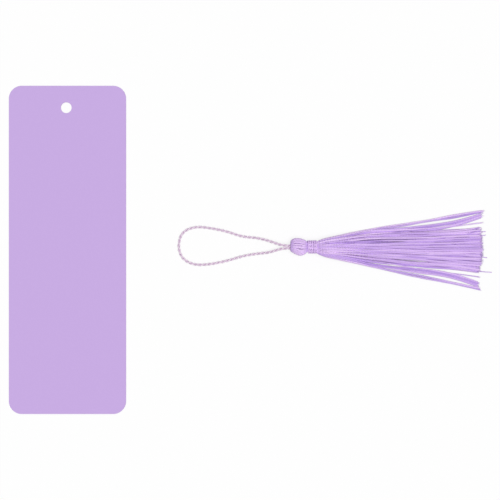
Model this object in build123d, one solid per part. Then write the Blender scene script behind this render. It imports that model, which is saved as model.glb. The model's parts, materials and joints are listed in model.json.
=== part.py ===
from build123d import *
import os
from math import cos, pi, radians, sin, sqrt, tan

# A card bookmark and its loose tassel, lying side by side on a table.
# Millimetres. The origin is the middle of the card's back, X runs from the card to the tassel's tips,
# Y runs up the card, Z points up from the table.

# Card
card_width = 50.0
card_length = 140.0
card_thickness = 0.5
card_corner_radius = 5.5
card_edge_round = 0.1       # upper edge, rolled over by the cutting die
hole_diameter = 4.6
hole_inset = 9.34           # from the upper edge to the hole's centre
hole_offset = -0.53         # from the card's middle line to the hole's centre

# Place of the tassel on the table
head_distance = 69.9        # from the card's edge to the tassel's head, with the cord loop between them
tassel_shift = 1.45         # tassel axis above the card's middle

# Cord
cord_diameter = 1.1
cord_sides = 8              # flats round the cord
cord_leg_gap = 0.2          # between the two legs where they enter the head
cord_lift = 0.01            # between the cord and the table
knot_wraps = 3              # turns of cord in the knot
knot_diameter = 3.3
knot_lead = 1.3             # cord ends between the head's mouth and the knot

# Head and bound neck
head_diameter = 7.5
head_length = 7.1
head_folds = 20             # folded thread bunches seen round the head
fold_depth = 0.22
head_end_diameter = 6.0     # where the head meets the binding
head_pole_diameter = 4.0    # flat round the cord's mouth
neck_length = 4.6
neck_diameter = 5.8         # over the binding
binding_thread = 0.5
binding_sides = 6           # flats round the binding thread
binding_pitch = 0.95

# Skirt of threads
skirt_length = 70.8
thread_width = 0.62         # cut end of one thread
thread_depth = 0.42
thread_side_gap = 0.11      # between neighbours at the tips, side by side
thread_over_gap = 0.07      # between neighbours at the tips, one over the other
thread_root_gap = 0.055     # between neighbours where the neck binds them
thread_rings = 6            # rings of threads round the middle one
row_tilt = 15.0             # degrees, rows of threads against the table
tip_lean = -1.05            # sideways drift of the fan's middle at the tips
tip_lift = 0.1              # lowest tips above the table
uneven_cut = 0.9            # longest and shortest threads, from the mean
root_depth = 1.1            # bound root that carries a row of threads
thread_seat = 0.2           # end of a thread held in the root

# Motion and clearances
swing_degrees = 25.0        # each way, for the loop and for the skirt
swing_gap = 0.2             # left between the tassel and what swings on it
inner_gap = 0.12            # round the knot, inside the head
wrap_gap = 0.06             # between the binding and the neck

# Places worked out from the sizes above
pole_x = card_width / 2 + head_distance
axis_z = head_diameter / 2
neck_end = head_length + neck_length
swing_limit = radians(swing_degrees)
cord_radius = cord_diameter / 2
leg_offset = cord_radius + cord_leg_gap / 2
leg_reach = leg_offset + cord_radius
winding_radius = neck_diameter / 2 - binding_thread / 2
neck_core_radius = winding_radius - binding_thread / 2 - wrap_gap
mouth_radius = leg_reach + inner_gap


def swing_room(reach):
    # Least distance from a hinge line that keeps a corner at this reach clear of the tassel at the limits.
    return (reach * sin(swing_limit) + swing_gap) / cos(swing_limit)


def at_tassel(x, y, z):
    # x runs from the head's pole to the tips, y is sideways from the tassel's axis, z is above the table.
    return Vector(pole_x + x, tassel_shift + y, z)


def round_about_axis(x, radius, angle):
    return at_tassel(x, radius * cos(angle), axis_z + radius * sin(angle))


def axis_plane(x):
    return Plane(origin=at_tassel(x, 0, axis_z), x_dir=(0, 1, 0), z_dir=(1, 0, 0))


def rod(start, end, radius):
    return extrude(axis_plane(start) * Circle(radius), end - start)


def make_card():
    hole_place = Pos(hole_offset, card_length / 2 - hole_inset)
    outline = RectangleRounded(card_width, card_length, card_corner_radius)
    blank = extrude(outline - hole_place * Circle(hole_diameter / 2), card_thickness)
    upper_edge = blank.faces().sort_by(Axis.Z)[-1].outer_wire().edges()
    return fillet(upper_edge, card_edge_round)


# Cord loop: distance in front of the head, sideways place, and height as a share of the drop from the
# head's axis (1) to the table (0). The legs leave the head side by side and meet round the far end.
loop_route = [
    (swing_room(leg_reach), leg_offset, 1.0),
    (4.3, 1.15, 0.95),
    (8.9, 2.55, 0.52),
    (14.2, 3.95, 0.07),
    (20.2, 4.35, 0.0),
    (26.5, 6.6, 0.0),
    (33.6, 8.1, 0.0),
    (40.2, 8.8, 0.0),
    (46.0, 6.7, 0.0),
    (48.5, 1.4, 0.0),
    (47.2, -4.5, 0.0),
    (41.4, -7.7, 0.0),
    (34.6, -7.5, 0.0),
    (26.7, -5.85, 0.0),
    (20.4, -3.85, 0.0),
    (14.4, -2.8, 0.07),
    (8.9, -2.35, 0.52),
    (4.3, -1.05, 0.95),
    (swing_room(leg_reach), -leg_offset, 1.0),
]


def make_cord_loop():
    table_z = cord_radius + cord_lift
    points = [at_tassel(-x, y, table_z + share * (axis_z - table_z)) for x, y, share in loop_route]
    radii = []
    for before, corner, after in zip(points, points[1:], points[2:]):
        shorter = min((corner - before).length, (after - corner).length)
        half_turn = radians((corner - before).get_angle(after - corner)) / 2
        radii.append(0.45 * shorter / tan(half_turn))
    path = FilletPolyline(*points, radius=radii)
    section = Plane(origin=path @ 0, z_dir=path % 0) * RegularPolygon(cord_radius, cord_sides)
    tube = sweep(section, path=path)
    print("cord bend radii", [round(radius, 1) for radius in radii])
    print("cord length", round(path.length, 1))
    print("cord volume over section times length", tube.volume / (section.area * path.length))
    return tube


# The knot: wraps of cord side by side, with the two cord ends leading out to the head's mouth.
knot_radius = knot_diameter / 2
stub_start = swing_gap
knot_start = stub_start + knot_lead
knot_end = knot_start + knot_wraps * cord_diameter


def make_cord_knot():
    # Half profile over the tassel's axis, with a flat and two slopes for each wrap.
    shoulder = knot_radius - cord_radius / 2
    outline = [(knot_start, 0)]
    for wrap in range(knot_wraps):
        start = knot_start + wrap * cord_diameter
        outline.append((start, shoulder))
        outline.append((start + cord_radius / 2, knot_radius))
        outline.append((start + 3 * cord_radius / 2, knot_radius))
    outline += [(knot_end, shoulder), (knot_end, 0)]
    profile = make_face(Polyline(*outline, close=True))
    knot = Pos(*at_tassel(0, 0, axis_z)) * revolve(profile, Axis.X)
    for side in (-1, 1):
        section = axis_plane(stub_start) * Pos(side * leg_offset, 0) * RegularPolygon(cord_radius, cord_sides)
        knot = knot + extrude(section, knot_start + cord_radius - stub_start)
    return knot


# The head's outline: share of its length, and its radius there.
head_outline = [
    (0.0, head_pole_diameter / 2),
    (0.05, 0.72 * head_diameter / 2),
    (0.14, 0.87 * head_diameter / 2),
    (0.3, 0.965 * head_diameter / 2),
    (0.5, head_diameter / 2),
    (0.72, 0.98 * head_diameter / 2),
    (0.9, (2 * head_diameter + head_end_diameter) / 6),
    (1.0, head_end_diameter / 2),
]


def folded_ring(x, radius):
    # Scalloped ring: an arc over each thread bunch, with a bunch straight under the axis.
    step = 2 * pi / head_folds
    valley = radius * (1 - fold_depth / (head_diameter / 2))
    arcs = []
    for fold in range(head_folds):
        crest = fold * step - pi / 2
        start = round_about_axis(x, valley, crest - step / 2)
        top = round_about_axis(x, radius, crest)
        end = round_about_axis(x, valley, crest + step / 2)
        arcs.append(Edge.make_three_point_arc(start, top, end))
    return Wire(arcs)


def make_head():
    rings = [folded_ring(share * head_length, radius) for share, radius in head_outline]
    folds = Solid.make_loft(rings, ruled=True)
    neck_core = rod(head_length / 2, neck_end, neck_core_radius)
    mouth = rod(-inner_gap, knot_start, mouth_radius)
    chamber = rod(knot_start - inner_gap, knot_end + inner_gap, knot_radius + inner_gap)
    return folds + neck_core - mouth - chamber


def helix_point(angle, start):
    return round_about_axis(start + binding_pitch * angle / (2 * pi), winding_radius, angle)


def helix_tangent(angle):
    rise = binding_pitch / (2 * pi)
    return Vector(rise, -winding_radius * sin(angle), winding_radius * cos(angle)).normalized()


def biarc(first, first_tangent, last, last_tangent):
    # Two arcs that meet smoothly and keep the tangents at both ends.
    chord = last - first
    both = first_tangent + last_tangent
    bend = 2 * (1 - first_tangent.dot(last_tangent))
    along = chord.dot(both)
    handle = (sqrt(along**2 + bend * chord.dot(chord)) - along) / bend
    near = first + first_tangent * handle
    far = last - last_tangent * handle
    middle = (near + far) / 2
    first_arc = Edge.make_tangent_arc(first, first_tangent, middle)
    return [first_arc, Edge.make_tangent_arc(middle, far - near, last)]


def make_neck_binding():
    # Quarter turns from just under the head to the neck's lower end, with straight ends.
    start = head_length + binding_thread
    quarters = int(4 * (neck_length - 2 * binding_thread) / binding_pitch)
    angles = [quarter * pi / 2 for quarter in range(quarters + 1)]
    points = [helix_point(angle, start) for angle in angles]
    tangents = [helix_tangent(angle) for angle in angles]
    lead = points[0] - tangents[0] * binding_thread
    tail = points[-1] + tangents[-1] * binding_thread
    edges = [Edge.make_line(lead, points[0])]
    for index in range(quarters):
        edges += biarc(points[index], tangents[index], points[index + 1], tangents[index + 1])
    edges.append(Edge.make_line(points[-1], tail))
    path = Wire(edges)
    section = Plane(origin=lead, z_dir=tangents[0]) * RegularPolygon(binding_thread / 2, binding_sides)
    thread = sweep(section, path=path)
    steps = 400
    samples = [path @ (step / steps) for step in range(steps + 1)]
    apart = int(steps * pi * winding_radius / path.length)
    gaps = []
    for index, point in enumerate(samples):
        gaps += [(point - other).length - binding_thread for other in samples[index + apart:]]
    print("binding turns", quarters / 4, "least gap to itself", round(min(gaps), 3))
    print("binding volume over section times length", thread.volume / (section.area * path.length))
    return thread


# Skirt: the threads leave the neck on a triangular lattice and fan out flat towards the tips. The lattice
# is turned by row_tilt, so that seen from above the rows fill each other's gaps.
tilt = radians(row_tilt)
across = (cos(tilt), sin(tilt))                          # next thread in a row
upward = (cos(tilt + pi / 3), sin(tilt + pi / 3))        # next row
root_spacing = neck_core_radius / thread_rings
tip_spacing_side = (thread_width + thread_side_gap) / upward[0]
tip_spacing_over = (thread_depth + thread_over_gap) / (3 * upward[1] - across[1])
tip_height = tip_lift + thread_depth / 2 + thread_rings * tip_spacing_over
root_radius = neck_core_radius + root_spacing / 2
root_front = neck_end + swing_room(0)
root_back = neck_end + swing_room(root_radius) + root_depth
thread_start = root_back - thread_seat
thread_length = neck_end + skirt_length - thread_start

# How the bundle opens, as shares of the way from the bound root (0) to the tips (1): the run along the
# skirt, the spread sideways, the sinking to the table, the flattening, and the swelling of each thread.
skirt_stations = [
    (0.0, 0.0, 0.0, 0.0, 0.0),
    (0.06, 0.13, 0.06, -0.25, 0.1),
    (0.28, 0.36, 0.46, -0.1, 0.05),
    (0.62, 0.69, 0.78, 0.5, 0.3),
    (1.0, 1.0, 1.0, 1.0, 1.0),
]


def between(start, end, share):
    return start + (end - start) * share


def lattice_place(column, row):
    return (column * across[0] + row * upward[0], column * across[1] + row * upward[1])


def tip_station(run):
    # The last span, stretched or shortened to where a thread is cut.
    before, end = skirt_stations[-2:]
    share = (run - before[0]) / (end[0] - before[0])
    return [between(start, stop, share) for start, stop in zip(before, end)]


def thread_section(place, station):
    run, spread, sink, flatten, swell = station
    side = between(root_spacing, tip_spacing_side, spread) * place[0] + tip_lean * run
    height = between(axis_z, tip_height, sink) + between(root_spacing, tip_spacing_over, flatten) * place[1]
    half_width = between(root_spacing - thread_root_gap, thread_width, swell) / 2
    half_depth = between(root_spacing * sin(pi / 3) - thread_root_gap, thread_depth, swell) / 2
    roll = tilt * (1 - spread)
    corners = []
    for a, b in ((-1, -1), (1, -1), (1, 1), (-1, 1)):
        y = side + a * half_width * cos(roll) - b * half_depth * sin(roll)
        z = height + a * half_width * sin(roll) + b * half_depth * cos(roll)
        corners.append(at_tassel(thread_start + run * thread_length, y, z))
    return Wire.make_polygon(corners, close=True)


def make_thread(column, row):
    place = lattice_place(column, row)
    fan = (tip_spacing_side - root_spacing) * place[0]
    reach = sqrt(thread_length**2 - fan**2) + uneven_cut * sin(7 * column + 4 * row)
    stations = skirt_stations[:-1] + [tip_station(reach / thread_length)]
    return Solid.make_loft([thread_section(place, station) for station in stations], ruled=True)


def make_root_disc():
    # Bound root, with its front drawn back to both sides so that the skirt can swing.
    side = root_radius + root_spacing
    outline = [
        at_tassel(root_front, 0, 0),
        at_tassel(neck_end + swing_room(side), side, 0),
        at_tassel(root_back, side, 0),
        at_tassel(root_back, -side, 0),
        at_tassel(neck_end + swing_room(side), -side, 0),
    ]
    wedge = extrude(make_face(Wire.make_polygon(outline, close=True)), head_diameter, dir=(0, 0, 1))
    return wedge & rod(neck_end, root_back, root_radius)


def make_skirt_row(row, root_disc):
    # One row of threads, fused to its own slice of the root.
    slice_height = root_spacing * sin(pi / 3)
    room = 2 * root_radius
    low = (row - 0.5) * slice_height if row > -thread_rings else -room
    high = (row + 0.5) * slice_height if row < thread_rings else room
    slab = Pos(0, (low + high) / 2) * Rectangle(2 * room, high - low)
    root = root_disc & extrude(axis_plane(neck_end) * Rot(0, 0, row_tilt) * slab, root_back)
    first = max(-thread_rings, -thread_rings - row)
    last = min(thread_rings, thread_rings - row)
    threads = [make_thread(column, row) for column in range(first, last + 1)]
    return root.solid().fuse(*threads)


os.makedirs("parts", exist_ok=True)
export_step(make_card(), "parts/card.step")
export_step(make_cord_loop(), "parts/cord_loop.step")
export_step(make_cord_knot(), "parts/cord_knot.step")
export_step(make_head(), "parts/head.step")
export_step(make_neck_binding(), "parts/neck_binding.step")

root_disc = make_root_disc()
for number in range(2 * thread_rings + 1):
    skirt_row = make_skirt_row(number - thread_rings, root_disc)
    export_step(skirt_row, f"parts/skirt_row_{number + 1:02d}.step")
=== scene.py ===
import bmesh
import bpy
import json
import math
import random
from mathutils import Matrix, Vector


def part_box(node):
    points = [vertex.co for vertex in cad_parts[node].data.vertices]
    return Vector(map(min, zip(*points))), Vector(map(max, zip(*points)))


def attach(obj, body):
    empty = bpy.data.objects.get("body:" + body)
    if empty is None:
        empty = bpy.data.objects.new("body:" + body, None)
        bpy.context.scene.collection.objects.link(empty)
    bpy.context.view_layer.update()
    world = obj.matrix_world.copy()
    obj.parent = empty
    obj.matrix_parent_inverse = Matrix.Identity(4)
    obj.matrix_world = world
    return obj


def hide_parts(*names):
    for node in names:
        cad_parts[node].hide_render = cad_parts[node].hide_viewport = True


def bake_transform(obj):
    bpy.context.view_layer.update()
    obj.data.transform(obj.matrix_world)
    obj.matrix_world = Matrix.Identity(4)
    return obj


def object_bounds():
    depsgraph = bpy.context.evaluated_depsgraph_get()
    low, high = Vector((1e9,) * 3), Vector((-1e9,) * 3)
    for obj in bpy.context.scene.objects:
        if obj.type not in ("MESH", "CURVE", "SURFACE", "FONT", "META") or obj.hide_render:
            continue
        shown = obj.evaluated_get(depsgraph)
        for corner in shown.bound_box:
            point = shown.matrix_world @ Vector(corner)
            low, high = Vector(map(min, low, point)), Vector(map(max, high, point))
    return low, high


# A lavender card bookmark and its loose thread tassel. Sizes in the dictionaries are millimetres.
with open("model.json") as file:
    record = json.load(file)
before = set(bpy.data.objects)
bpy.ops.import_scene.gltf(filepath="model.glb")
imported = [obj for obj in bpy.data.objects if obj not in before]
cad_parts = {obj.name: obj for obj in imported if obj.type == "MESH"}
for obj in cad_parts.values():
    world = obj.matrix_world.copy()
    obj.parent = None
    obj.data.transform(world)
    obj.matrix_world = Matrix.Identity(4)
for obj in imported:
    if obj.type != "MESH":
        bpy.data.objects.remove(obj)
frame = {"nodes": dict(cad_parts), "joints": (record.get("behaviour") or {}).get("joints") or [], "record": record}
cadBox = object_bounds()
mm = 0.001
jointPlace = {joint["name"]: Vector(joint["pos_m"]) for joint in frame["joints"] if "pos_m" in joint}
mountNamed = {mount["name"]: mount for mount in frame["record"]["mounts"]}
pole = jointPlace["loop_swing"]                    # the head's flat end, on the tassel's axis
neckEnd = jointPlace["skirt_swing"]                # where the skirt leaves the binding
axisHeight = pole.z / mm
neckReach = (neckEnd.x - pole.x) / mm              # head and neck together
sideShift = -0.22                                  # the threads lie a little beside the hinge line
print("frame loaded")


# Shader maths: a wrapped output socket, on which Python's operators add Math nodes
class Tap:
    def __init__(self, tree, socket=None):
        self.tree = tree
        self.socket = socket

    def plug(self, target, value):
        if isinstance(value, Tap):
            self.tree.links.new(value.socket, target)
        else:
            target.default_value = value

    def node(self, kind, settings=None, inputs=None, output=0):
        made = self.tree.nodes.new(kind)
        for name, value in (settings or {}).items():
            setattr(made, name, value)
        for name, value in (inputs or {}).items():
            self.plug(made.inputs[name], value)
        return Tap(self.tree, made.outputs[output] if made.outputs else None)

    def maths(self, operation, first, second=0.0):
        return self.node("ShaderNodeMath", {"operation": operation}, {0: first, 1: second})

    def __add__(self, other):
        return self.maths("ADD", self, other)

    def __radd__(self, other):
        return self.maths("ADD", other, self)

    def __sub__(self, other):
        return self.maths("SUBTRACT", self, other)

    def __rsub__(self, other):
        return self.maths("SUBTRACT", other, self)

    def __mul__(self, other):
        return self.maths("MULTIPLY", self, other)

    def __rmul__(self, other):
        return self.maths("MULTIPLY", other, self)

    def __gt__(self, other):
        return self.maths("GREATER_THAN", self, other)

    def __lt__(self, other):
        return self.maths("LESS_THAN", self, other)


def newMaterial(name):
    material = bpy.data.materials.new(name)
    material.use_nodes = True
    material.node_tree.nodes.clear()
    return material, Tap(material.node_tree)


def mixColours(tap, share, first, second):
    sockets = {"Factor": share, 6: first, 7: second}     # 6 and 7 are the colour sockets
    return tap.node("ShaderNodeMix", {"data_type": "RGBA"}, sockets, 2)


def addMesh(name, mesh, material):
    mesh.materials.clear()
    mesh.materials.append(material)
    piece = bpy.data.objects.new(name, mesh)
    bpy.context.collection.objects.link(piece)
    return piece


def addObject(name, bm, material):
    mesh = bpy.data.meshes.new(name)
    bm.to_mesh(mesh)
    bm.free()
    return addMesh(name, mesh, material)


# Camera: the card's width in the picture sets the scale
cameraSettings = {
    "imagePixels": 500,
    "cardPixels": 117.25,
    "cardMiddlePixel": (67.45, 249.9),
    "lens": 100,
    "sensor": 36,
}


def addCamera(settings):
    low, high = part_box("card")
    pixel = (high.x - low.x) / settings["cardPixels"]
    half = settings["imagePixels"] / 2
    middleX, middleY = settings["cardMiddlePixel"]
    distance = settings["imagePixels"] * pixel * settings["lens"] / settings["sensor"]
    cameraData = bpy.data.cameras.new("camera")
    cameraData.lens = settings["lens"]
    cameraData.sensor_width = settings["sensor"]
    camera = bpy.data.objects.new("camera", cameraData)
    camera.location = ((half - middleX) * pixel, (middleY - half) * pixel, high.z + distance)
    bpy.context.collection.objects.link(camera)
    bpy.context.scene.camera = camera


# Studio: white surroundings and one broad lamp from above
studioSettings = {
    "worldStrength": 0.34,
    "sunStrength": 2.08,
    "sunAngle": 35,                    # degrees across, for soft shadows
    "sunTurn": (4, 8, 0),              # degrees away from straight down
    "floorColour": (0.97, 0.97, 0.97, 1),
    "bounceColour": (0.6, 0.6, 0.6, 1),    # what the floor throws back at the object
    "floorSize": 2.0,                  # metres
    "floorDrop": 0.05,                 # keeps the floor just clear of what lies on it
    "backdrop": (1, 1, 1, 1),
    "shadowShare": 0.22,               # how much of the floor's own shading the picture shows
}


def seenShare(tap):
    # 1 for the rays that show a background: straight from the camera, mirrored or through glass
    rays = tap.tree.nodes.new("ShaderNodeLightPath").outputs
    seen = Tap(tap.tree, rays["Is Camera Ray"]) + Tap(tap.tree, rays["Is Glossy Ray"])
    seen = seen + Tap(tap.tree, rays["Is Transmission Ray"])
    return tap.maths("MINIMUM", seen, 1.0)


def addStudio(settings):
    world = bpy.data.worlds.new("studio")
    world.use_nodes = True
    world.node_tree.nodes.clear()
    tap = Tap(world.node_tree)
    seen = seenShare(tap)
    strength = settings["worldStrength"] + seen * (1.0 - settings["worldStrength"])
    light = tap.node("ShaderNodeBackground", {}, {"Color": settings["backdrop"], "Strength": strength})
    tap.node("ShaderNodeOutputWorld", {}, {"Surface": light})
    bpy.context.scene.world = world

    sunData = bpy.data.lights.new("sun", "SUN")
    sunData.energy = settings["sunStrength"]
    sunData.angle = math.radians(settings["sunAngle"])
    sun = bpy.data.objects.new("sun", sunData)
    sun.rotation_euler = [math.radians(turn) for turn in settings["sunTurn"]]
    bpy.context.collection.objects.link(sun)

    material, tap = newMaterial("floorWhite")
    seen = seenShare(tap)
    tint = mixColours(tap, seen, settings["bounceColour"], settings["floorColour"])
    shaded = tap.node("ShaderNodeBsdfDiffuse", {}, {"Color": tint})
    plain = tap.node("ShaderNodeEmission", {}, {"Color": settings["backdrop"], "Strength": 1.0})
    share = seen * (1.0 - settings["shadowShare"])
    surface = tap.node("ShaderNodeMixShader", {}, {0: share, 1: shaded, 2: plain})
    tap.node("ShaderNodeOutputMaterial", {}, {"Surface": surface})
    bm = bmesh.new()
    bmesh.ops.create_grid(bm, x_segments=1, y_segments=1, size=settings["floorSize"])
    floorHeight = cadBox[0].z - settings["floorDrop"] * mm
    bmesh.ops.translate(bm, verts=bm.verts, vec=(pole.x, 0, floorHeight))
    addObject("floor", bm, material)


addCamera(cameraSettings)
addStudio(studioSettings)
bpy.context.scene.view_settings.view_transform = "Standard"
print("camera and studio ready")


# Places on the tassel
def atTassel(x, y, z):
    # from the head's flat end towards the tips, sideways from the axis, and up from the table
    return Vector((pole.x + x * mm, pole.y + (y + sideShift) * mm, z * mm))


def roundAxis(x, radius, angle):
    # angle 0 points sideways along +Y, a quarter turn points up
    return atTassel(x, radius * math.cos(angle), axisHeight + radius * math.sin(angle))


def readOff(stations, at):
    # smooth values between rows of (place, value, value ...)
    last = len(stations) - 2
    index = 0
    while index < last and at > stations[index + 1][0]:
        index += 1
    before = stations[max(index - 1, 0)]
    start = stations[index]
    end = stations[index + 1]
    after = stations[min(index + 2, len(stations) - 1)]
    span = end[0] - start[0]
    share = min(max((at - start[0]) / span, 0.0), 1.0)
    values = []
    for column in range(1, len(start)):
        leave = (end[column] - before[column]) / (end[0] - before[0]) * span
        arrive = (after[column] - start[column]) / (after[0] - start[0]) * span
        rise = end[column] - start[column]
        bend = leave + arrive - 2 * rise
        lift = 3 * rise - 2 * leave - arrive
        values.append(start[column] + share * (leave + share * (lift + share * bend)))
    return values


def ramp(start, end, value):
    share = min(max((value - start) / (end - start), 0.0), 1.0)
    return share * share * (3 - 2 * share)


# Threads: each strand is (points, radii, tones), and a piece holds many
strandSettings = {
    "seedStep": 0.618,                 # the golden share keeps the fibres of neighbours unlike
    "domeTip": 0.32,                   # a cut end is a low dome, measured in thread radii
    "domeShoulder": 0.22,
    "shoulderWidth": 0.72,
    "weld": 0.0001,                    # points nearer than this are one
}


def closeEnds(points, radii):
    tip = strandSettings["domeTip"]
    shoulder = strandSettings["domeShoulder"]
    width = strandSettings["shoulderWidth"]
    first = (points[0] - points[1]).normalized() * radii[0]
    last = (points[-1] - points[-2]).normalized() * radii[-1]
    head = [points[0] + first * tip, points[0] + first * shoulder]
    tail = [points[-1] + last * shoulder, points[-1] + last * tip]
    headRadii = [0.0, radii[0] * width]
    tailRadii = [radii[-1] * width, 0.0]
    return head + points + tail, headRadii + radii + tailRadii


def strandMesh(name, strands, sides):
    curve = bpy.data.curves.new(name + "Lines", "CURVE")
    curve.dimensions = "3D"
    curve.bevel_depth = 1.0                        # so that a point's radius is its real one
    curve.bevel_resolution = (sides - 4) // 2      # each step adds two sides to the first four
    tones = []
    runs = []
    seeds = []
    for number, (line, lineRadii, lineTones) in enumerate(strands):
        points, radii = closeEnds(line, lineRadii)
        seeds += [number * strandSettings["seedStep"] % 1] * (len(points) * sides)
        spline = curve.splines.new("POLY")
        spline.points.add(len(points) - 1)
        spline.points.foreach_set("co", [value for point in points for value in (*point, 1.0)])
        spline.points.foreach_set("radius", radii)
        run = 0.0
        for index, point in enumerate(points):
            run += (point - points[max(index - 1, 0)]).length
            runs += [run / mm] * sides
        for tone in [lineTones[0]] * 2 + lineTones + [lineTones[-1]] * 2:  # each dome has its end's tone
            tones += [tone] * sides
    mesh = bpy.data.meshes.new_from_object(bpy.data.objects.new(name + "Lines", curve))
    mesh.attributes.new("tone", "FLOAT", "POINT").data.foreach_set("value", tones)
    mesh.attributes.new("run", "FLOAT", "POINT").data.foreach_set("value", runs)
    mesh.attributes.new("seed", "FLOAT", "POINT").data.foreach_set("value", seeds)
    bm = bmesh.new()
    bm.from_mesh(mesh)
    bmesh.ops.remove_doubles(bm, verts=bm.verts, dist=strandSettings["weld"] * mm)
    bmesh.ops.recalc_face_normals(bm, faces=bm.faces)
    for face in bm.faces:
        face.smooth = True
    bm.to_mesh(mesh)
    bm.free()
    return mesh


def splinePoints(controls, steps):
    # a smooth line near its control points, as Blender's own NURBS spline draws it
    curve = bpy.data.curves.new("routeLine", "CURVE")
    curve.dimensions = "3D"
    spline = curve.splines.new("NURBS")
    spline.points.add(len(controls) - 1)
    spline.points.foreach_set("co", [value for point in controls for value in (*point, 1.0)])
    spline.order_u = 3
    spline.use_endpoint_u = True
    spline.resolution_u = steps
    mesh = bpy.data.meshes.new_from_object(bpy.data.objects.new("routeLine", curve))
    return [vertex.co.copy() for vertex in mesh.vertices]


def evenPoints(points, step):
    # the same line, with its points evenly apart
    reach = [0.0]
    for before, after in zip(points, points[1:]):
        reach.append(reach[-1] + (after - before).length)
    count = max(2, round(reach[-1] / step))
    even = []
    index = 0
    for number in range(count + 1):
        target = reach[-1] * number / count
        while index < len(points) - 2 and reach[index + 1] < target:
            index += 1
        span = max(reach[index + 1] - reach[index], 1e-12)      # never zero
        even.append(points[index].lerp(points[index + 1], (target - reach[index]) / span))
    return even


def twistLines(points, lines, offset, pitch, start=0.0):
    # lines twisted round a route; a negative pitch twists the other way
    twisted = [[] for line in range(lines)]
    run = 0.0
    for index, point in enumerate(points):
        run += (point - points[max(index - 1, 0)]).length
        ahead = points[min(index + 1, len(points) - 1)] - points[max(index - 1, 0)]
        side = ahead.cross(Vector((0, 0, 1))).normalized()
        up = side.cross(ahead).normalized()
        for line in range(lines):
            angle = start + 2 * math.pi * (run / pitch + line / lines)
            twisted[line].append(point + offset * (math.cos(angle) * side + math.sin(angle) * up))
    return twisted


# Thread finish: plies twisted together, long fibres along them, a satin sheen, painted shade in the grooves
# between the plies, and a tone for each strand
finishSettings = {
    "fibreDetail": 3.0,
    "fibreMove": 40.0,                 # how far the fibres' pattern moves on between strands
    "fadeScale": 1.0,
    "fadeDetail": 2.0,
    "fadeMove": 60.0,
    "roughnessSwing": 0.2,
    "sheenRoughness": 0.4,
}


def threadFinish(name, look):
    shared = finishSettings
    material, tap = newMaterial(name)
    tone = tap.node("ShaderNodeAttribute", {"attribute_name": "tone"}, {}, 2)
    run = tap.node("ShaderNodeAttribute", {"attribute_name": "run"}, {}, 2)
    seed = tap.node("ShaderNodeAttribute", {"attribute_name": "seed"}, {}, 2)
    wrap = tap.node("ShaderNodeUVMap", {"uv_map": "UVMap"})
    around = tap.node("ShaderNodeSeparateXYZ", {}, {0: wrap}, "Y")
    lay = (around + run * (1 / look["layPitch"])) * (2 * math.pi)
    plies = tap.maths("COSINE", lay * look["plies"]) * 0.5 + 0.5
    place = tap.node("ShaderNodeCombineXYZ", {}, {
        0: tap.maths("COSINE", lay),
        1: tap.maths("SINE", lay),
        2: run * look["fibreStretch"] + seed * shared["fibreMove"],
    })
    fibres = tap.node("ShaderNodeTexNoise", {}, {
        "Vector": place,
        "Scale": look["fibreScale"],
        "Detail": shared["fibreDetail"],
    })
    fading = tap.node("ShaderNodeTexNoise", {}, {
        "Vector": tap.node("ShaderNodeCombineXYZ", {}, {
            0: run * look["fadeStretch"],
            1: seed * shared["fadeMove"],
        }),
        "Scale": shared["fadeScale"],
        "Detail": shared["fadeDetail"],
    })
    share = tone * look["toneShare"] + fading * look["fadeShare"]
    # painted shade: the colour is deeper in the grooves between the plies, where the bump sinks too
    share = share + fibres * look["fibreShare"] + plies * look["plyGrooveShade"]
    colour = mixColours(tap, share, look["deepColour"], look["paleColour"])
    rough = look["roughness"] + (fibres - 0.5) * shared["roughnessSwing"]
    bump = tap.node("ShaderNodeBump", {}, {
        "Strength": look["bumpStrength"],
        "Distance": look["bumpDepth"] * mm,
        "Height": fibres + plies * look["plyRelief"],
    })
    surface = tap.node("ShaderNodeBsdfPrincipled", {}, {
        "Base Color": colour,
        "Roughness": rough,
        "Normal": bump,
        "Specular IOR Level": look["gloss"],
        "Sheen Weight": look["sheen"],
        "Sheen Roughness": shared["sheenRoughness"],
    })
    tap.node("ShaderNodeOutputMaterial", {}, {"Surface": surface})
    return material


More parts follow.
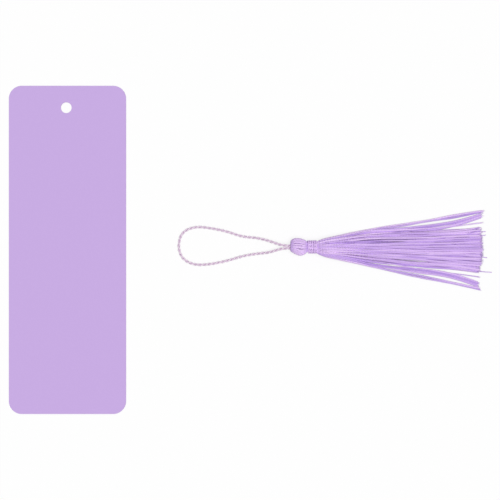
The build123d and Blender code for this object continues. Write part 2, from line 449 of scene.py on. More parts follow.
# Cord loop: two plies of three yarns, laid in the same loop as its CAD solid
cordSettings = {
    "diameter": 1.1,
    "lift": 0.12,                      # the yarns stand out this far past the cord's radius
    "plies": 2,
    "plyOffset": 0.29,
    "plyPitch": 3.92,
    "plyTones": (0.72, 0.86),
    "toneSpread": 0.06,
    "paintedCreaseShade": -0.2,                # painted shade between the plies
    "creaseShadeReach": (0.4, 0.95),        # where the painted shade fades out, as shares of the way from the middle outwards
    "yarns": 3,
    "yarnOffset": 0.165,
    "yarnPitch": -2.1,
    "yarnRadius": 0.205,
    "sides": 6,
    "routeSteps": 24,
    "step": 0.16,
    "seed": 11,
    "bendInside": 0.5,                 # place this far inside the head, from which bendStart is set
    "bendLength": 12.0,                # how far the loop bends when it swings
    # distance in front of the head, from which bendEnd is set
    "route": [
        (-1.5, 0.46, 1.1),
        (0.78, 0.46, 1.1),
        (4.3, 0.88, 1.0),
        (8.9, 2.6, 0.52),
        (14.2, 3.95, 0.07),
        (20.2, 4.3, 0.0),
        (26.5, 6.55, 0.0),
        (33.6, 8.05, 0.0),
        (40.2, 8.75, 0.0),
        (45.8, 6.65, 0.0),
        (47.75, 1.4, 0.0),
        (46.55, -4.5, 0.0),
        (41.4, -7.65, 0.0),
        (34.6, -7.5, 0.0),
        (26.7, -5.9, 0.0),
        (20.4, -3.9, 0.0),
        (14.4, -2.85, 0.07),
        (8.9, -2.4, 0.52),
        (4.3, -0.82, 0.9),
        (0.78, -0.46, 0.9),
        (-1.5, -0.46, 0.9),
    ],
    "look": {
        "deepColour": (0.57, 0.42, 0.59, 1),
        "paleColour": (0.98, 0.83, 0.96, 1),
        "plies": 2,
        "layPitch": 3.0,
        "plyGrooveShade": 0.05,
        "plyRelief": 0.3,
        "fibreStretch": 0.5,
        "fibreScale": 2.6,
        "fadeStretch": 0.05,
        "toneShare": 0.6,
        "fadeShare": 0.15,
        "fibreShare": 0.25,
        "roughness": 0.55,
        "gloss": 0.3,
        "sheen": 0.2,
        "bumpStrength": 0.7,
        "bumpDepth": 0.12,
    },
}


def yarnStrands(points, settings, draws):
    strands = []
    shadeInCrease = settings["paintedCreaseShade"]
    farthest = settings["plyOffset"] + settings["yarnOffset"]
    yarnOffset = settings["yarnOffset"] * mm
    yarnPitch = settings["yarnPitch"] * mm
    plies = twistLines(points, settings["plies"], settings["plyOffset"] * mm, settings["plyPitch"] * mm)
    for ply, tone in zip(plies, settings["plyTones"]):
        for yarn in twistLines(ply, settings["yarns"], yarnOffset, yarnPitch, draws.random()):
            outer = tone + draws.uniform(-settings["toneSpread"], settings["toneSpread"])
            tones = []
            for place, middle in zip(yarn, points):
                # painted shade: a yarn is deeper in tone where it lies near the cord's middle, in the creases
                # between the plies
                depth = (place - middle).length / mm / farthest
                tones.append(shadeInCrease + (outer - shadeInCrease) * ramp(*settings["creaseShadeReach"], depth))
            strands.append((yarn, [settings["yarnRadius"] * mm] * len(yarn), tones))
    return strands


def addCord(settings):
    draws = random.Random(settings["seed"])
    lying = settings["diameter"] / 2 + settings["lift"]        # height of its middle on the table
    controls = []
    for x, y, share in settings["route"]:
        controls.append(atTassel(-x, y, lying + share * (axisHeight - lying)))
    line = evenPoints(splinePoints(controls, settings["routeSteps"]), settings["step"] * mm)
    length = sum((after - before).length for before, after in zip(line, line[1:]))
    mesh = strandMesh("twistedCord", yarnStrands(line, settings, draws), settings["sides"])
    cord = addMesh("twistedCord", mesh, threadFinish("cordThread", settings["look"]))
    bendStart = atTassel(settings["bendInside"], 0, axisHeight)
    bendEnd = atTassel(-settings["bendLength"], 0, axisHeight)
    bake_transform(cord)
    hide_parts("cord_loop")
    print("cord laid,", round(length / mm, 1), "mm")


addCord(cordSettings)

# Card: a die-cut blank with rounded corners, a punched hole and softened edges
cardSettings = {
    "cornerRadius": 5.5,
    "cornerSteps": 14,
    "holeSteps": 64,
    "faceRound": (0.1, 3),             # upper edges, rolled over by the cutting die: radius and steps
    "backRound": (0.04, 2),
    "sharpAngle": 1.0,                 # radians; edges above this are rounded
    "levelGap": 0.001,                 # points this near to a height count as on it
    "flatNormal": 0.999,               # faces that look straight up or down stay flat
    "deepColour": (0.505, 0.345, 0.695, 1),
    "paleColour": (0.63, 0.452, 0.827, 1),
    "fibreColour": (0.68, 0.53, 0.83, 1),
    "edgeColour": (0.63, 0.48, 0.8, 1),
    # grain: noise scale across, along and through the card, detail and roughness
    "pulp": ((6500.0, 6500.0, 6500.0), 4.0, 0.7),
    "fibresAcross": ((700.0, 7000.0, 2600.0), 3.0, 0.55),
    "fibresAlong": ((7600.0, 800.0, 2600.0), 3.0, 0.55),
    "edgePlies": ((300.0, 300.0, 26000.0), 2.0, 0.5),
    "fibreCut": 0.6,                   # noise above this is a fibre
    "fibreSharpness": 6.0,
    "fibreShare": 0.35,                # how far a fibre on the surface stands out from the pulp
    "fibreRelief": 0.5,
    "edgeReach": (0.1, 0.75),          # shares of the thickness between which the cut edge shows
    "edgeShare": 0.8,
    "toothDepth": 0.05,
    "toothStrength": 0.6,
    "roughness": 0.6,
    "pulpRoughness": 0.25,             # added by the pulp and by the cut edge
    "edgeRoughness": 0.1,
    "gloss": 0.3,
}


def paperFinish(settings, thickness):
    material, tap = newMaterial("cardPaper")
    place = tap.node("ShaderNodeTexCoord", {}, {}, "Object")
    height = tap.node("ShaderNodeSeparateXYZ", {}, {0: place}, "Z")

    def noise(scale, detail, roughness):
        stretched = tap.node("ShaderNodeMapping", {}, {"Vector": place, "Scale": scale})
        sockets = {"Vector": stretched, "Scale": 1.0, "Detail": detail, "Roughness": roughness}
        return tap.node("ShaderNodeTexNoise", {}, sockets)

    pulp = noise(*settings["pulp"])
    plies = noise(*settings["edgePlies"])
    across = (noise(*settings["fibresAcross"]) - settings["fibreCut"]) * settings["fibreSharpness"]
    along = (noise(*settings["fibresAlong"]) - settings["fibreCut"]) * settings["fibreSharpness"]
    fibres = tap.node("ShaderNodeClamp", {}, {"Value": tap.maths("MAXIMUM", across, along)})
    edgeLow, edgeHigh = settings["edgeReach"]
    cutEdge = (height > edgeLow * thickness) * (height < edgeHigh * thickness)
    face = mixColours(tap, pulp, settings["deepColour"], settings["paleColour"])
    face = mixColours(tap, fibres * settings["fibreShare"], face, settings["fibreColour"])
    edge = mixColours(tap, plies, settings["deepColour"], settings["edgeColour"])
    colour = mixColours(tap, cutEdge * settings["edgeShare"], face, edge)
    relief = (pulp + fibres * settings["fibreRelief"]) * (1.0 - cutEdge) + plies * cutEdge
    rough = settings["roughness"] + pulp * settings["pulpRoughness"] + cutEdge * settings["edgeRoughness"]
    bump = tap.node("ShaderNodeBump", {}, {
        "Strength": settings["toothStrength"],
        "Distance": settings["toothDepth"] * mm,
        "Height": relief,
    })
    surface = tap.node("ShaderNodeBsdfPrincipled", {}, {
        "Base Color": colour,
        "Roughness": rough,
        "Normal": bump,
        "Specular IOR Level": settings["gloss"],
    })
    tap.node("ShaderNodeOutputMaterial", {}, {"Surface": surface})
    return material


def roundEdges(bm, height, rounding, settings):
    # softens the sharp edges that lie at this height
    radius, steps = rounding
    gap = settings["levelGap"] * mm
    sharp = []
    for edge in bm.edges:
        level = all(abs(vertex.co.z - height) < gap for vertex in edge.verts)
        if level and edge.calc_face_angle() > settings["sharpAngle"]:
            sharp.append(edge)
    bmesh.ops.bevel(bm, geom=sharp, offset=radius * mm, offset_type="OFFSET", segments=steps, profile=0.5,
                    affect="EDGES", material=-1)


def addCard(settings):
    low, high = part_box("card")
    size = high - low
    hole = mountNamed["tassel_hole"]
    holePlace = Matrix.Translation((hole["pos_m"][0], hole["pos_m"][1], low.z))
    bm = bmesh.new()
    bmesh.ops.create_grid(bm, x_segments=1, y_segments=1, size=0.5)
    bmesh.ops.scale(bm, verts=bm.verts, vec=(size.x, size.y, 1))
    bmesh.ops.translate(bm, verts=bm.verts, vec=((low.x + high.x) / 2, (low.y + high.y) / 2, low.z))
    bmesh.ops.bevel(bm, geom=bm.verts[:], offset=settings["cornerRadius"] * mm, offset_type="OFFSET",
                    segments=settings["cornerSteps"], profile=0.5, affect="VERTICES", material=-1)
    bmesh.ops.delete(bm, geom=bm.faces[:], context="FACES_ONLY")
    bmesh.ops.create_circle(bm, segments=settings["holeSteps"], radius=hole["dims"]["r_mm"] * mm,
                            matrix=holePlace)
    bmesh.ops.triangle_fill(bm, use_beauty=True, edges=bm.edges[:])
    raised = bmesh.ops.extrude_face_region(bm, geom=bm.faces[:])["geom"]
    lifted = [item for item in raised if isinstance(item, bmesh.types.BMVert)]
    bmesh.ops.translate(bm, verts=lifted, vec=(0, 0, size.z))
    bmesh.ops.recalc_face_normals(bm, faces=bm.faces)
    roundEdges(bm, high.z, settings["faceRound"], settings)
    roundEdges(bm, low.z, settings["backRound"], settings)
    bm.normal_update()
    for face in bm.faces:
        face.smooth = abs(face.normal.z) < settings["flatNormal"]
    card = addObject("cardSheet", bm, paperFinish(settings, size.z))
    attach(card, "card")
    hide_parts("card")
    print("card cut")


addCard(cardSettings)

# Tassel thread, shared by the head and the skirt
tasselLook = {
    "deepColour": (0.5, 0.315, 0.79, 1),
    "paleColour": (0.868, 0.65, 1.0, 1),
    "plies": 2,
    "layPitch": 2.4,
    "plyGrooveShade": 0.3,
    "plyRelief": 1.0,
    "fibreStretch": 0.25,
    "fibreScale": 2.4,
    "fadeStretch": 0.03,
    "toneShare": 0.5,
    "fadeShare": 0.2,
    "fibreShare": 0.25,
    "roughness": 0.48,
    "gloss": 0.25,
    "sheen": 0.06,
    "bumpStrength": 0.6,
    "bumpDepth": 0.14,
}
tasselThread = threadFinish("tasselThread", tasselLook)

# Head: threads folded over the cord, with partings between them
headSettings = {
    "folds": 26,
    "samples": 46,
    "sides": 8,
    "seed": 23,
    "unevenness": 0.03,                # radians
    "twist": 0.22,                     # radians from the pole to the neck
    "wander": 0.05,                    # radians to both sides
    "wanderRate": 5.0,
    "lump": 0.09,
    "tones": (0.8, 1.15),
    "foldShade": 0.75,                 # painted shade where the threads turn over the cord
    "foldShadeReach": (0.4, 2.1),
    "neckShade": 0.5,                  # and painted shade where they go under the binding
    "neckShadeReach": (5.4, 6.8),
    "coreRows": (3, 10),               # rows of the path that the core under the threads follows
    "coreInset": 0.5,
    "coreNeck": (7.5, 2.05),           # where it has narrowed to the neck, and its radius there
    "coreEnd": 0.3,                    # its end narrows from this far before the skirt to this far in it
    "coreSteps": 36,
    "coreWeld": 0.001,
    # place along the axis, radius on the +Y side, radius on the -Y side, thread radius
    "path": [
        (1.7, 1.02, 1.02, 0.18),
        (0.9, 1.05, 1.05, 0.2),
        (0.44, 1.32, 1.25, 0.27),
        (0.36, 2.05, 1.62, 0.32),
        (0.86, 2.74, 1.86, 0.38),
        (1.9, 3.25, 2.46, 0.42),
        (3.0, 3.28, 2.95, 0.42),
        (4.0, 3.25, 3.27, 0.42),
        (5.4, 2.9, 3.1, 0.4),
        (6.4, 2.46, 2.52, 0.34),
        (7.1, 2.0, 2.05, 0.26),
        (8.2, 1.8, 1.8, 0.22),
    ],
    # angle round the axis in degrees and place along it
    "partings": [
        (79, 4.3),
        (100, 3.8),
        (116, 3.3),
        (42, 3.2),
        (150, 4.4),
        (215, 3.6),
        (300, 4.0),
        (345, 3.4),
    ],
    "partingReach": 0.4,               # radians to both sides
    "partingWidth": 0.048,
    "partingLength": 0.55,
}


def partedAngle(base, x, settings):
    # how far the threads on both sides of each parting give way there
    turn = 0.0
    for degrees, place in settings["partings"]:
        away = (base - math.radians(degrees) + math.pi) % (2 * math.pi) - math.pi
        near = max(0.0, 1.0 - abs(away) / settings["partingReach"])
        near *= math.exp(-((x - place) / settings["partingLength"]) ** 2)
        turn += math.copysign(settings["partingWidth"] * near, away)
    return turn


def headStrands(settings):
    draws = random.Random(settings["seed"])
    rows = [(index, *row) for index, row in enumerate(settings["path"])]
    strands = []
    for fold in range(settings["folds"]):
        base = 2 * math.pi * fold / settings["folds"]
        base += draws.uniform(-settings["unevenness"], settings["unevenness"])
        lump = settings["lump"] * draws.uniform(-1, 1)
        phase = draws.uniform(0, 2 * math.pi)
        tone = draws.uniform(*settings["tones"])
        points = []
        radii = []
        tones = []
        for sample in range(settings["samples"]):
            share = sample / (settings["samples"] - 1)
            x, upper, lower, thread = readOff(rows, share * (len(rows) - 1))
            angle = base + settings["twist"] * (share - 0.5) + partedAngle(base, x, settings)
            swing = math.sin(settings["wanderRate"] * share + phase) * math.sin(math.pi * share)
            angle += settings["wander"] * swing
            radius = (upper + lower) / 2 + (upper - lower) / 2 * math.cos(angle)
            points.append(roundAxis(x, radius + lump * math.sin(math.pi * share), angle))
            radii.append(thread * mm)
            # painted shade at the rolled-over end and where the threads go under the binding
            shade = settings["foldShade"] * (1 - ramp(*settings["foldShadeReach"], x))
            shade += settings["neckShade"] * ramp(*settings["neckShadeReach"], x)
            tones.append(tone - shade)
        strands.append((points, radii, tones))
    return strands


def coreLine(settings):
    # half of the core's outline, as places along the axis and radii
    first, last = settings["coreRows"]
    outline = []
    for x, upper, lower, thread in settings["path"][first:last]:
        outline.append((x, (upper + lower) / 2 - settings["coreInset"]))
    neckStart, neckRadius = settings["coreNeck"]
    outline.append((neckStart, neckRadius))
    outline.append((neckReach - settings["coreEnd"], neckRadius))
    outline.append((neckReach + settings["coreEnd"], neckRadius - settings["coreInset"]))
    return outline


def addHead(settings):
    strands = headStrands(settings)
    folds = addMesh("headFolds", strandMesh("headFolds", strands, settings["sides"]), tasselThread)
    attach(folds, "tassel")
    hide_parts("head")

    bm = bmesh.new()
    line = [bm.verts.new(roundAxis(x, radius, 0)) for x, radius in coreLine(settings)]
    for before, after in zip(line, line[1:]):
        bm.edges.new((before, after))
    bmesh.ops.spin(bm, geom=bm.verts[:] + bm.edges[:], cent=pole, axis=(1, 0, 0), angle=2 * math.pi,
                   steps=settings["coreSteps"], use_merge=True)
    bmesh.ops.remove_doubles(bm, verts=bm.verts, dist=settings["coreWeld"] * mm)
    bmesh.ops.holes_fill(bm, edges=bm.edges[:], sides=0)
    bmesh.ops.recalc_face_normals(bm, faces=bm.faces)
    for face in bm.faces:
        face.smooth = True
    core = addObject("headCore", bm, tasselThread)
    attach(core, "tassel")
    print("head folded,", len(strands), "threads")


addHead(headSettings)

# Neck: one two-ply thread wound from the head to the skirt, with both ends tucked under
windingSettings = {
    "start": 7.4,
    "turns": 5,
    "pitch": 0.82,
    "radius": 2.46,
    "unevenness": 0.045,
    "unevenRate": 4.1,                 # radians per turn
    "startAngle": -90,                 # degrees, underneath
    "tuckTurns": 0.35,
    "tuckDepth": 0.9,
    "turnSteps": 60,
    "step": 0.12,
    "plies": 2,
    "plyOffset": 0.165,
    "plyRadius": 0.28,
    "plyPitch": 3.1,
    "tones": (0.5, 1.0),
    "sides": 6,
    "seed": 31,
    "look": {
        "deepColour": (0.64, 0.41, 1.0, 1),
        "paleColour": (0.96, 0.73, 1.0, 1),
        "plies": 2,
        "layPitch": 1.6,
        "plyGrooveShade": 0.05,
        "plyRelief": 0.3,
        "fibreStretch": 0.5,
        "fibreScale": 2.4,
        "fadeStretch": 0.08,
        "toneShare": 0.6,
        "fadeShare": 0.25,
        "fibreShare": 0.25,
        "roughness": 0.5,
        "gloss": 0.25,
        "sheen": 0.06,
        "bumpStrength": 0.6,
        "bumpDepth": 0.12,
    },
}


def windingLine(settings):
    points = []
    steps = settings["turnSteps"]
    tucked = int(settings["tuckTurns"] * steps)
    wound = settings["turns"] * steps
    for step in range(-tucked, wound + tucked + 1):
        turn = step / steps
        hidden = max(-step, step - wound, 0) / tucked            # 0 on the turns that show
        held = min(max(turn, 0.0), settings["turns"])
        x = settings["start"] + settings["pitch"] * held
        x += settings["unevenness"] * math.sin(settings["unevenRate"] * turn)
        radius = settings["radius"] - settings["tuckDepth"] * math.sin(math.pi / 2 * hidden)
        points.append(roundAxis(x, radius, math.radians(settings["startAngle"]) + 2 * math.pi * turn))
    return points


def plyStrands(line, settings, tones):
    # plies of one even thickness, each with its own tone
    plies = twistLines(line, len(tones), settings["plyOffset"] * mm, settings["plyPitch"] * mm)
    strands = []
    for ply, tone in zip(plies, tones):
        strands.append((ply, [settings["plyRadius"] * mm] * len(ply), [tone] * len(ply)))
    return strands


def addWinding(settings):
    draws = random.Random(settings["seed"])
    line = evenPoints(windingLine(settings), settings["step"] * mm)
    tones = [draws.uniform(*settings["tones"]) for ply in range(settings["plies"])]
    mesh = strandMesh("neckWinding", plyStrands(line, settings, tones), settings["sides"])
    winding = addMesh("neckWinding", mesh, threadFinish("windingThread", settings["look"]))
    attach(winding, "tassel")
    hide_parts("neck_binding")
    print("neck wound")


addWinding(windingSettings)

# Knot: the cord's ends wrapped on themselves inside the head
knotSettings = {
    "start": 1.9,
    "wraps": 2.6,
    "pitch": 1.15,
    "radius": 1.05,
    "lead": (0.35, 0.6),               # where the cord comes in, along the axis and sideways
    "wrapSteps": 40,
    "step": 0.2,
    "plies": 2,
    "plyOffset": 0.235,
    "plyRadius": 0.3,
    "plyPitch": 3.6,
    "tone": 0.5,
    "sides": 6,
}


def addKnot(settings):
    line = [atTassel(*settings["lead"], axisHeight)]
    for step in range(int(settings["wraps"] * settings["wrapSteps"]) + 1):
        turn = step / settings["wrapSteps"]
        x = settings["start"] + settings["pitch"] * turn
        line.append(roundAxis(x, settings["radius"], 2 * math.pi * turn))
    line = evenPoints(line, settings["step"] * mm)
    tones = [settings["tone"]] * settings["plies"]
    mesh = strandMesh("knottedEnds", plyStrands(line, settings, tones), settings["sides"])
    knot = addMesh("knottedEnds", mesh, bpy.data.materials["cordThread"])
    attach(knot, "tassel")
    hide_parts("cord_knot")
    print("knot tied")


addKnot(knotSettings)

# Skirt: cut threads that fan out from the neck, heaped in layers and loose at both sides
skirtSettings = {
    "layers": [(24, 1.0), (23, 0.97), (21, 0.87), (16, 0.64)],  # threads and share of the width, upwards
    "bodyTips": (8.75, -11.4),         # outermost threads of the main body, at the cut
    "fanTips": (15.4, -18.2),          # outermost of all
    "samples": 46,
    "sampleBias": 1.25,                # above 1, more of them near the neck
    "sides": 8,
    "seed": 52,
    "length": 69.5,
    "rootDepth": 1.0,                  # held under the binding
    "cutCurve": 0.011,                 # the cut falls back to both sides
    "cutUnevenness": 0.5,
    "spacing": (0.36, 0.64),           # where a thread may lie in its own space
    "thickness": (0.9, 1.1),
    "lift": (-0.1, 0.2),
    "tones": (-0.38, 1.0),
    "slubs": (5, 9),                   # thick places along a thread
    "slubDepth": 0.05,
    "crossing": 0.5,                   # how far a thread strays from its straight way
    "ripple": 0.14,
    "rippleWaves": (1.5, 3.0),
    "rippleReach": (0.05, 0.3),        # shares of the length over which it sets in, as each reach below
    "lean": 0.3,                       # how far the fan's middle bends sideways near the neck
    "leanReach": (0.0, 0.55),
    # threads that lie slantwise over the others: share of the width at the tip, shift on the way,
    # and layers that they sink by
    "slanting": [
        (-0.97, 3.4, 1.9),
        (-0.86, 2.9, 1.6),
        (-0.7, 2.3, 0.9),
        (-0.16, -1.5, 0.1),
        (0.12, 1.7, 0.1),
        (0.62, -2.4, 0.6),
        (0.82, -3.1, 1.3),
        (0.98, -3.6, 1.9),
    ],
    "slantLayer": 3.15,                # counted from 0, just above the uppermost
    "slantThickness": 0.62,
    # painted shade: the slanting threads are deeper in tone, standing for the shadow lines along their edges
    "slantShade": -0.7,
    "settling": 0.7,                   # below 1, the upper layers lie closer together than the lower ones
    "settleReach": (0.35, 0.9),
    "layReach": (0.06, 0.34),          # from the round bundle at the neck to the layers on the table
    "tuckedUnder": 0.28,               # every other thread starts this much of a layer lower
    "riseWidth": 0.25,                 # past the layer above, a thread rises over this share of the width
    "riseTuck": 0.3,                   # and every other one stays this much lower
    "bendBefore": 1.0,
    "bendAfter": 6.0,
    # share of the length, spread of the fan, swell of the main body's edges, top and bottom height,
    # and thread radius
    "fan": [
        (-0.015, 0.115, 0.35, 5.65, 1.85, 0.2),
        (0.0, 0.145, 0.45, 6.05, 1.45, 0.23),
        (0.007, 0.168, 0.52, 6.4, 1.1, 0.25),
        (0.046, 0.225, 0.75, 6.6, 0.7, 0.31),
        (0.1, 0.272, 0.95, 6.4, 0.4, 0.35),
        (0.2, 0.362, 1.25, 5.6, 0.1, 0.37),
        (0.32, 0.472, 1.45, 4.8, 0.0, 0.38),
        (0.47, 0.585, 1.3, 4.0, 0.0, 0.39),
        (0.7, 0.77, 0.6, 3.4, 0.0, 0.4),
        (1.0, 1.0, 0.0, 3.0, 0.0, 0.41),
    ],
    "waist": (1.0, 0.6),               # how far the main body's edges draw in before the cut
    "waistEdge": 8,                    # the higher, the fewer threads beside the edge follow it
    "waistBow": 3.5,                   # above 1, it lies nearer to the cut
    "clumpAt": 0.2,                    # share of the length where a clump of threads near the neck
    "clumpWidth": 1.35,                # is this wide
    "clumpStray": 0.06,
    "clumpDepth": 0.24,
    "clumpCreaseShade": 1.0,                  # painted light and shade: paler on each clump, deeper between the clumps, where the creases fall
    "clumpMiddle": 0.3,                # share of that in the middle of the fan
    "clumpSides": (0.2, 0.7),          # from the middle to the edge, where it grows to the whole
    "clumpSplit": (0.2, 0.5),          # reach over which each clump parts into two
    "clumpFade": (0.6, 0.95),
    "tintReach": (0.05, 0.4),
    "looseFrom": 0.28,                 # share where the outer threads come free
    "looseBow": 1.75,                  # above 1, they bow most nearer to their tips
    "looseDrop": 0.6,                  # share of their height that they lose on the way
    "looseDropReach": (0.45, 1.0),
    "looseTones": (-0.15, -0.75),      # by turns, so that neighbours stand apart
    # loose outer threads: sideways place of the tip, shift on the way, reach from the pole,
    # level in the bundle, and thickness beside a whole thread
    "loose": [
        (15.35, -0.1, 82.2, 0.3, 1.0),
        (14.8, -0.3, 81.6, 1.0, 1.0),
        (14.2, -1.8, 81.4, 1.0, 1.0),
        (13.65, -1.95, 81.0, 0.0, 1.0),
        (13.1, -2.1, 81.7, 1.0, 1.0),
        (12.6, -2.3, 81.3, 0.4, 1.0),
        (10.2, 0.0, 81.7, 0.8, 0.6),
        (-13.0, 0.0, 80.4, 0.8, 0.6),
        (-15.4, 1.9, 80.0, 0.4, 1.0),
        (-15.8, 1.75, 80.2, 1.0, 1.0),
        (-16.35, 1.6, 79.8, 0.0, 1.0),
        (-16.9, 1.5, 80.1, 1.0, 1.0),
        (-17.6, 0.3, 80.4, 1.0, 1.0),
        (-18.15, 0.1, 80.9, 0.3, 1.0),
    ],
    "frayedFibres": 5,
    "fibreSteps": 4,
    "fibreRadius": 0.055,
    "fibreTaper": 0.15,                # share of the radius lost at each step
    "fibreRoot": 0.3,                  # inside the thread
    "fibreSpot": (0.2, 0.8),           # share of the thread's radius where it grows
    "fibreBend": (0.1, 0.3),
    "fibreLength": (0.35, 1.1),
    # longer plies that stick out past the cut: tip's reach and sideways place
    "strays": [(83.5, 6.6), (83.5, 5.1), (84.1, -4.6), (86.1, -10.8)],
    "straySamples": 16,
    "strayRoot": 6.0,                  # before the cut
    "strayCurl": 0.5,
    "strayInset": 0.07,                # share of the sideways place that it starts nearer to the middle
    "strayHeights": (0.9, 0.3),        # at the root and at the tip
    "strayRadii": (0.24, 0.18),
    "strayTones": (0.0, 0.3),
}


def fanStrand(tipY, reach, level, settings, draws, place=0.0, layer=0.0, end=0.0, shift=0.0, loose=False,
              thickness=1.0, tint=0.0):
    # one thread from under the binding to its cut tip; a loose one comes down to the table by itself
    layers = len(settings["layers"]) - 1
    edge = settings["fanTips"][0 if tipY > 0 else 1]
    waist = settings["waist"][0 if place > 0 else 1] * abs(place) ** settings["waistEdge"]
    fat = draws.uniform(*settings["thickness"]) * thickness
    lift = draws.uniform(*settings["lift"])
    waves = draws.uniform(*settings["rippleWaves"])
    phase = draws.uniform(0, 2 * math.pi)
    slubs = draws.uniform(*settings["slubs"])
    tone = draws.uniform(*settings["tones"])
    clumpSpread, clumpSwell = readOff(settings["fan"], settings["clumpAt"])[:2]
    clump = (tipY * clumpSpread + place * clumpSwell) / settings["clumpWidth"]
    clump += draws.uniform(-settings["clumpStray"], settings["clumpStray"])
    ridge = math.cos(2 * math.pi * clump)
    halfRidge = math.cos(4 * math.pi * clump)
    clumpShade = settings["clumpMiddle"]
    clumpShade += (1 - clumpShade) * ramp(*settings["clumpSides"], abs(tipY / edge))
    clumpShade *= settings["clumpCreaseShade"]
    if level > 0:
        level -= settings["clumpDepth"] * (1 - ridge) / 2
    points = []
    radii = []
    tones = []
    for sample in range(settings["samples"]):
        share = (sample / (settings["samples"] - 1)) ** settings["sampleBias"]
        along = -settings["rootDepth"] + share * (reach + settings["rootDepth"])
        at = min(along / settings["length"], 1.0)
        spread, swell, top, bottom, radius = readOff(settings["fan"], at)
        radius *= fat * (1 + settings["slubDepth"] * math.sin(2 * math.pi * slubs * at + phase))
        free = (at - settings["looseFrom"]) / (1 - settings["looseFrom"]) if loose else at
        bow = math.sin(math.pi * max(free, 0.0) ** (settings["looseBow"] if loose else 1.0))
        drawn = math.copysign(waist, place) * math.sin(math.pi * max(at, 0.0) ** settings["waistBow"])
        y = tipY * spread + swell * place * abs(place) + shift * bow - drawn
        y += settings["lean"] * math.sin(math.pi * ramp(*settings["leanReach"], at))
        wave = math.sin(2 * math.pi * waves * at + phase)
        y += settings["ripple"] * wave * ramp(*settings["rippleReach"], at)
        inside = math.sqrt(max(0.0, 1 - (y / (edge * spread)) ** 2))
        held = (top + bottom) / 2 + ((top - bottom) / 2 - radius) * inside * level
        if loose:
            dropped = settings["looseDrop"] * ramp(*settings["looseDropReach"], at)
            height = (level + 1) / 2 * inside * (1 - dropped)
        else:
            rank = layer + (end - layer) * ramp(*settings["settleReach"], at)
            height = (rank / layers) ** settings["settling"]
        laid = radius + (top - 2 * radius) * height + lift
        z = held + (laid - held) * ramp(*settings["layReach"], at)
        points.append(atTassel(neckReach + along, y, max(z, radius)))
        radii.append(radius * mm)
        split = ramp(*settings["clumpSplit"], at)
        folds = (ridge * (1 - split) + halfRidge * split) * (1 - ramp(*settings["clumpFade"], at))
        # painted light and shade: a thread on a clump's crest is paler and one between clumps deeper, fading out
        # towards the tips
        tones.append(tone + clumpShade * folds + tint * ramp(*settings["tintReach"], at))
    return points, radii, tones


def frayedEnd(strand, settings, draws):
    # short fibres that stand out of a cut tip
    points, radii, tones = strand
    ahead = (points[-1] - points[-2]).normalized()
    side = ahead.cross(Vector((0, 0, 1))).normalized()
    up = side.cross(ahead)
    steps = settings["fibreSteps"]
    root = settings["fibreRoot"] * mm
    thickest = settings["fibreRadius"]
    fibreRadii = [thickest * (1 - settings["fibreTaper"] * step) * mm for step in range(steps)]
    fibres = []
    for number in range(settings["frayedFibres"]):
        angle = draws.uniform(0, 2 * math.pi)
        outward = math.cos(angle) * side + math.sin(angle) * up
        start = points[-1] + outward * radii[-1] * draws.uniform(*settings["fibreSpot"]) - ahead * root
        reach = draws.uniform(*settings["fibreLength"]) * mm
        line = []
        for step in range(steps):
            bend = outward * draws.uniform(*settings["fibreBend"]) * step / (steps - 1)
            point = start + (ahead + bend) * (root + reach) * step / (steps - 1)
            point.z = max(point.z, thickest * mm)
            line.append(point)
        fibres.append((line, fibreRadii, tones[-steps:]))
    return fibres


def bodyTip(share, settings):
    # sideways place of a tip in the main body, and the way to the cut there
    upper, lower = settings["bodyTips"]
    tipY = (upper + lower) / 2 + (upper - lower) / 2 * share
    return tipY, settings["length"] - settings["cutCurve"] * tipY**2


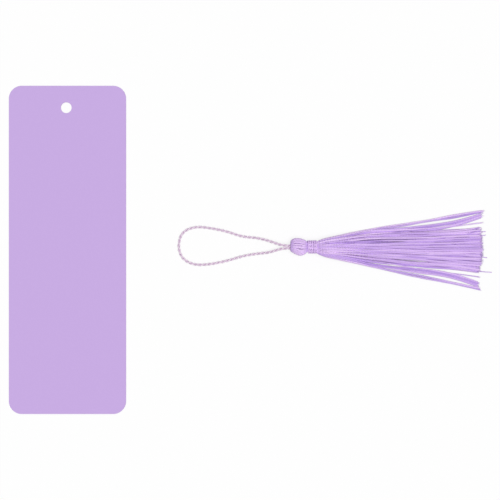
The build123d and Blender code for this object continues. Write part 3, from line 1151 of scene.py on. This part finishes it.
def bodyStrands(settings, draws):
    layers = settings["layers"]
    strands = []
    for layer, (count, width) in enumerate(layers):
        covered = layers[layer + 1][1] / width if layer + 1 < len(layers) else 1.0
        for number in range(count):
            odd = number % 2
            place = 2 * (number + draws.uniform(*settings["spacing"])) / count - 1
            rank = max(layer - settings["tuckedUnder"] * odd, 0.0)
            base = 2 * (rank / (len(layers) - 1)) ** settings["settling"] - 1
            rise = ramp(covered - settings["riseWidth"], covered, abs(place)) if layer else 0.0
            level = base + (1 - odd * settings["riseTuck"] - base) * rise
            tipY, reach = bodyTip(width * place, settings)
            reach += settings["cutUnevenness"] * draws.uniform(-1, 1)
            shift = settings["crossing"] * draws.uniform(-1, 1)
            strands.append(fanStrand(tipY, reach, level, settings, draws, width * place, rank,
                                     round(rank), shift))
    start = settings["slantLayer"]
    for place, shift, sink in settings["slanting"]:
        tipY, reach = bodyTip(place, settings)
        reach -= settings["cutUnevenness"] * draws.random()
        # painted shade: tint darkens the slanting threads
        strands.append(fanStrand(tipY, reach, 1.0, settings, draws, place, start, start - sink, shift,
                                 thickness=settings["slantThickness"], tint=settings["slantShade"]))
    return strands


def strayStrand(tipX, tipY, settings, draws):
    # a single ply that springs out of the cut ends
    points = []
    radii = []
    curl = draws.uniform(-settings["strayCurl"], settings["strayCurl"])
    rootX = neckReach + settings["length"] - settings["strayRoot"]
    rootZ, tipZ = settings["strayHeights"]
    rootRadius, tipRadius = settings["strayRadii"]
    for sample in range(settings["straySamples"]):
        share = sample / (settings["straySamples"] - 1)
        bow = curl * math.sin(math.pi * share) * share
        x = rootX + (tipX - rootX) * share
        y = tipY * (1 - settings["strayInset"] * (1 - share))
        points.append(atTassel(x, y + bow, rootZ + (tipZ - rootZ) * share))
        radii.append((rootRadius + (tipRadius - rootRadius) * share) * mm)
    return points, radii, [draws.uniform(*settings["strayTones"])] * len(points)


def addSkirt(settings):
    draws = random.Random(settings["seed"])
    strands = bodyStrands(settings, draws)
    for number, (tipY, shift, tipX, level, thickness) in enumerate(settings["loose"]):
        reach = tipX - neckReach
        tint = settings["looseTones"][number % 2]
        strands.append(fanStrand(tipY, reach, level, settings, draws, shift=shift, loose=True,
                                 thickness=thickness, tint=tint))
    for strand in list(strands):
        strands += frayedEnd(strand, settings, draws)
    for tipX, tipY in settings["strays"]:
        strands.append(strayStrand(tipX, tipY, settings, draws))
    skirt = addMesh("skirtThreads", strandMesh("skirtThreads", strands, settings["sides"]), tasselThread)
    bendStart = atTassel(neckReach - settings["bendBefore"], 0, axisHeight)
    bendEnd = atTassel(neckReach + settings["bendAfter"], 0, axisHeight)
    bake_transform(skirt)
    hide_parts(*[node for node in frame["nodes"] if node.startswith("skirt_row")])
    print("skirt cut,", len(strands), "threads")


addSkirt(skirtSettings)
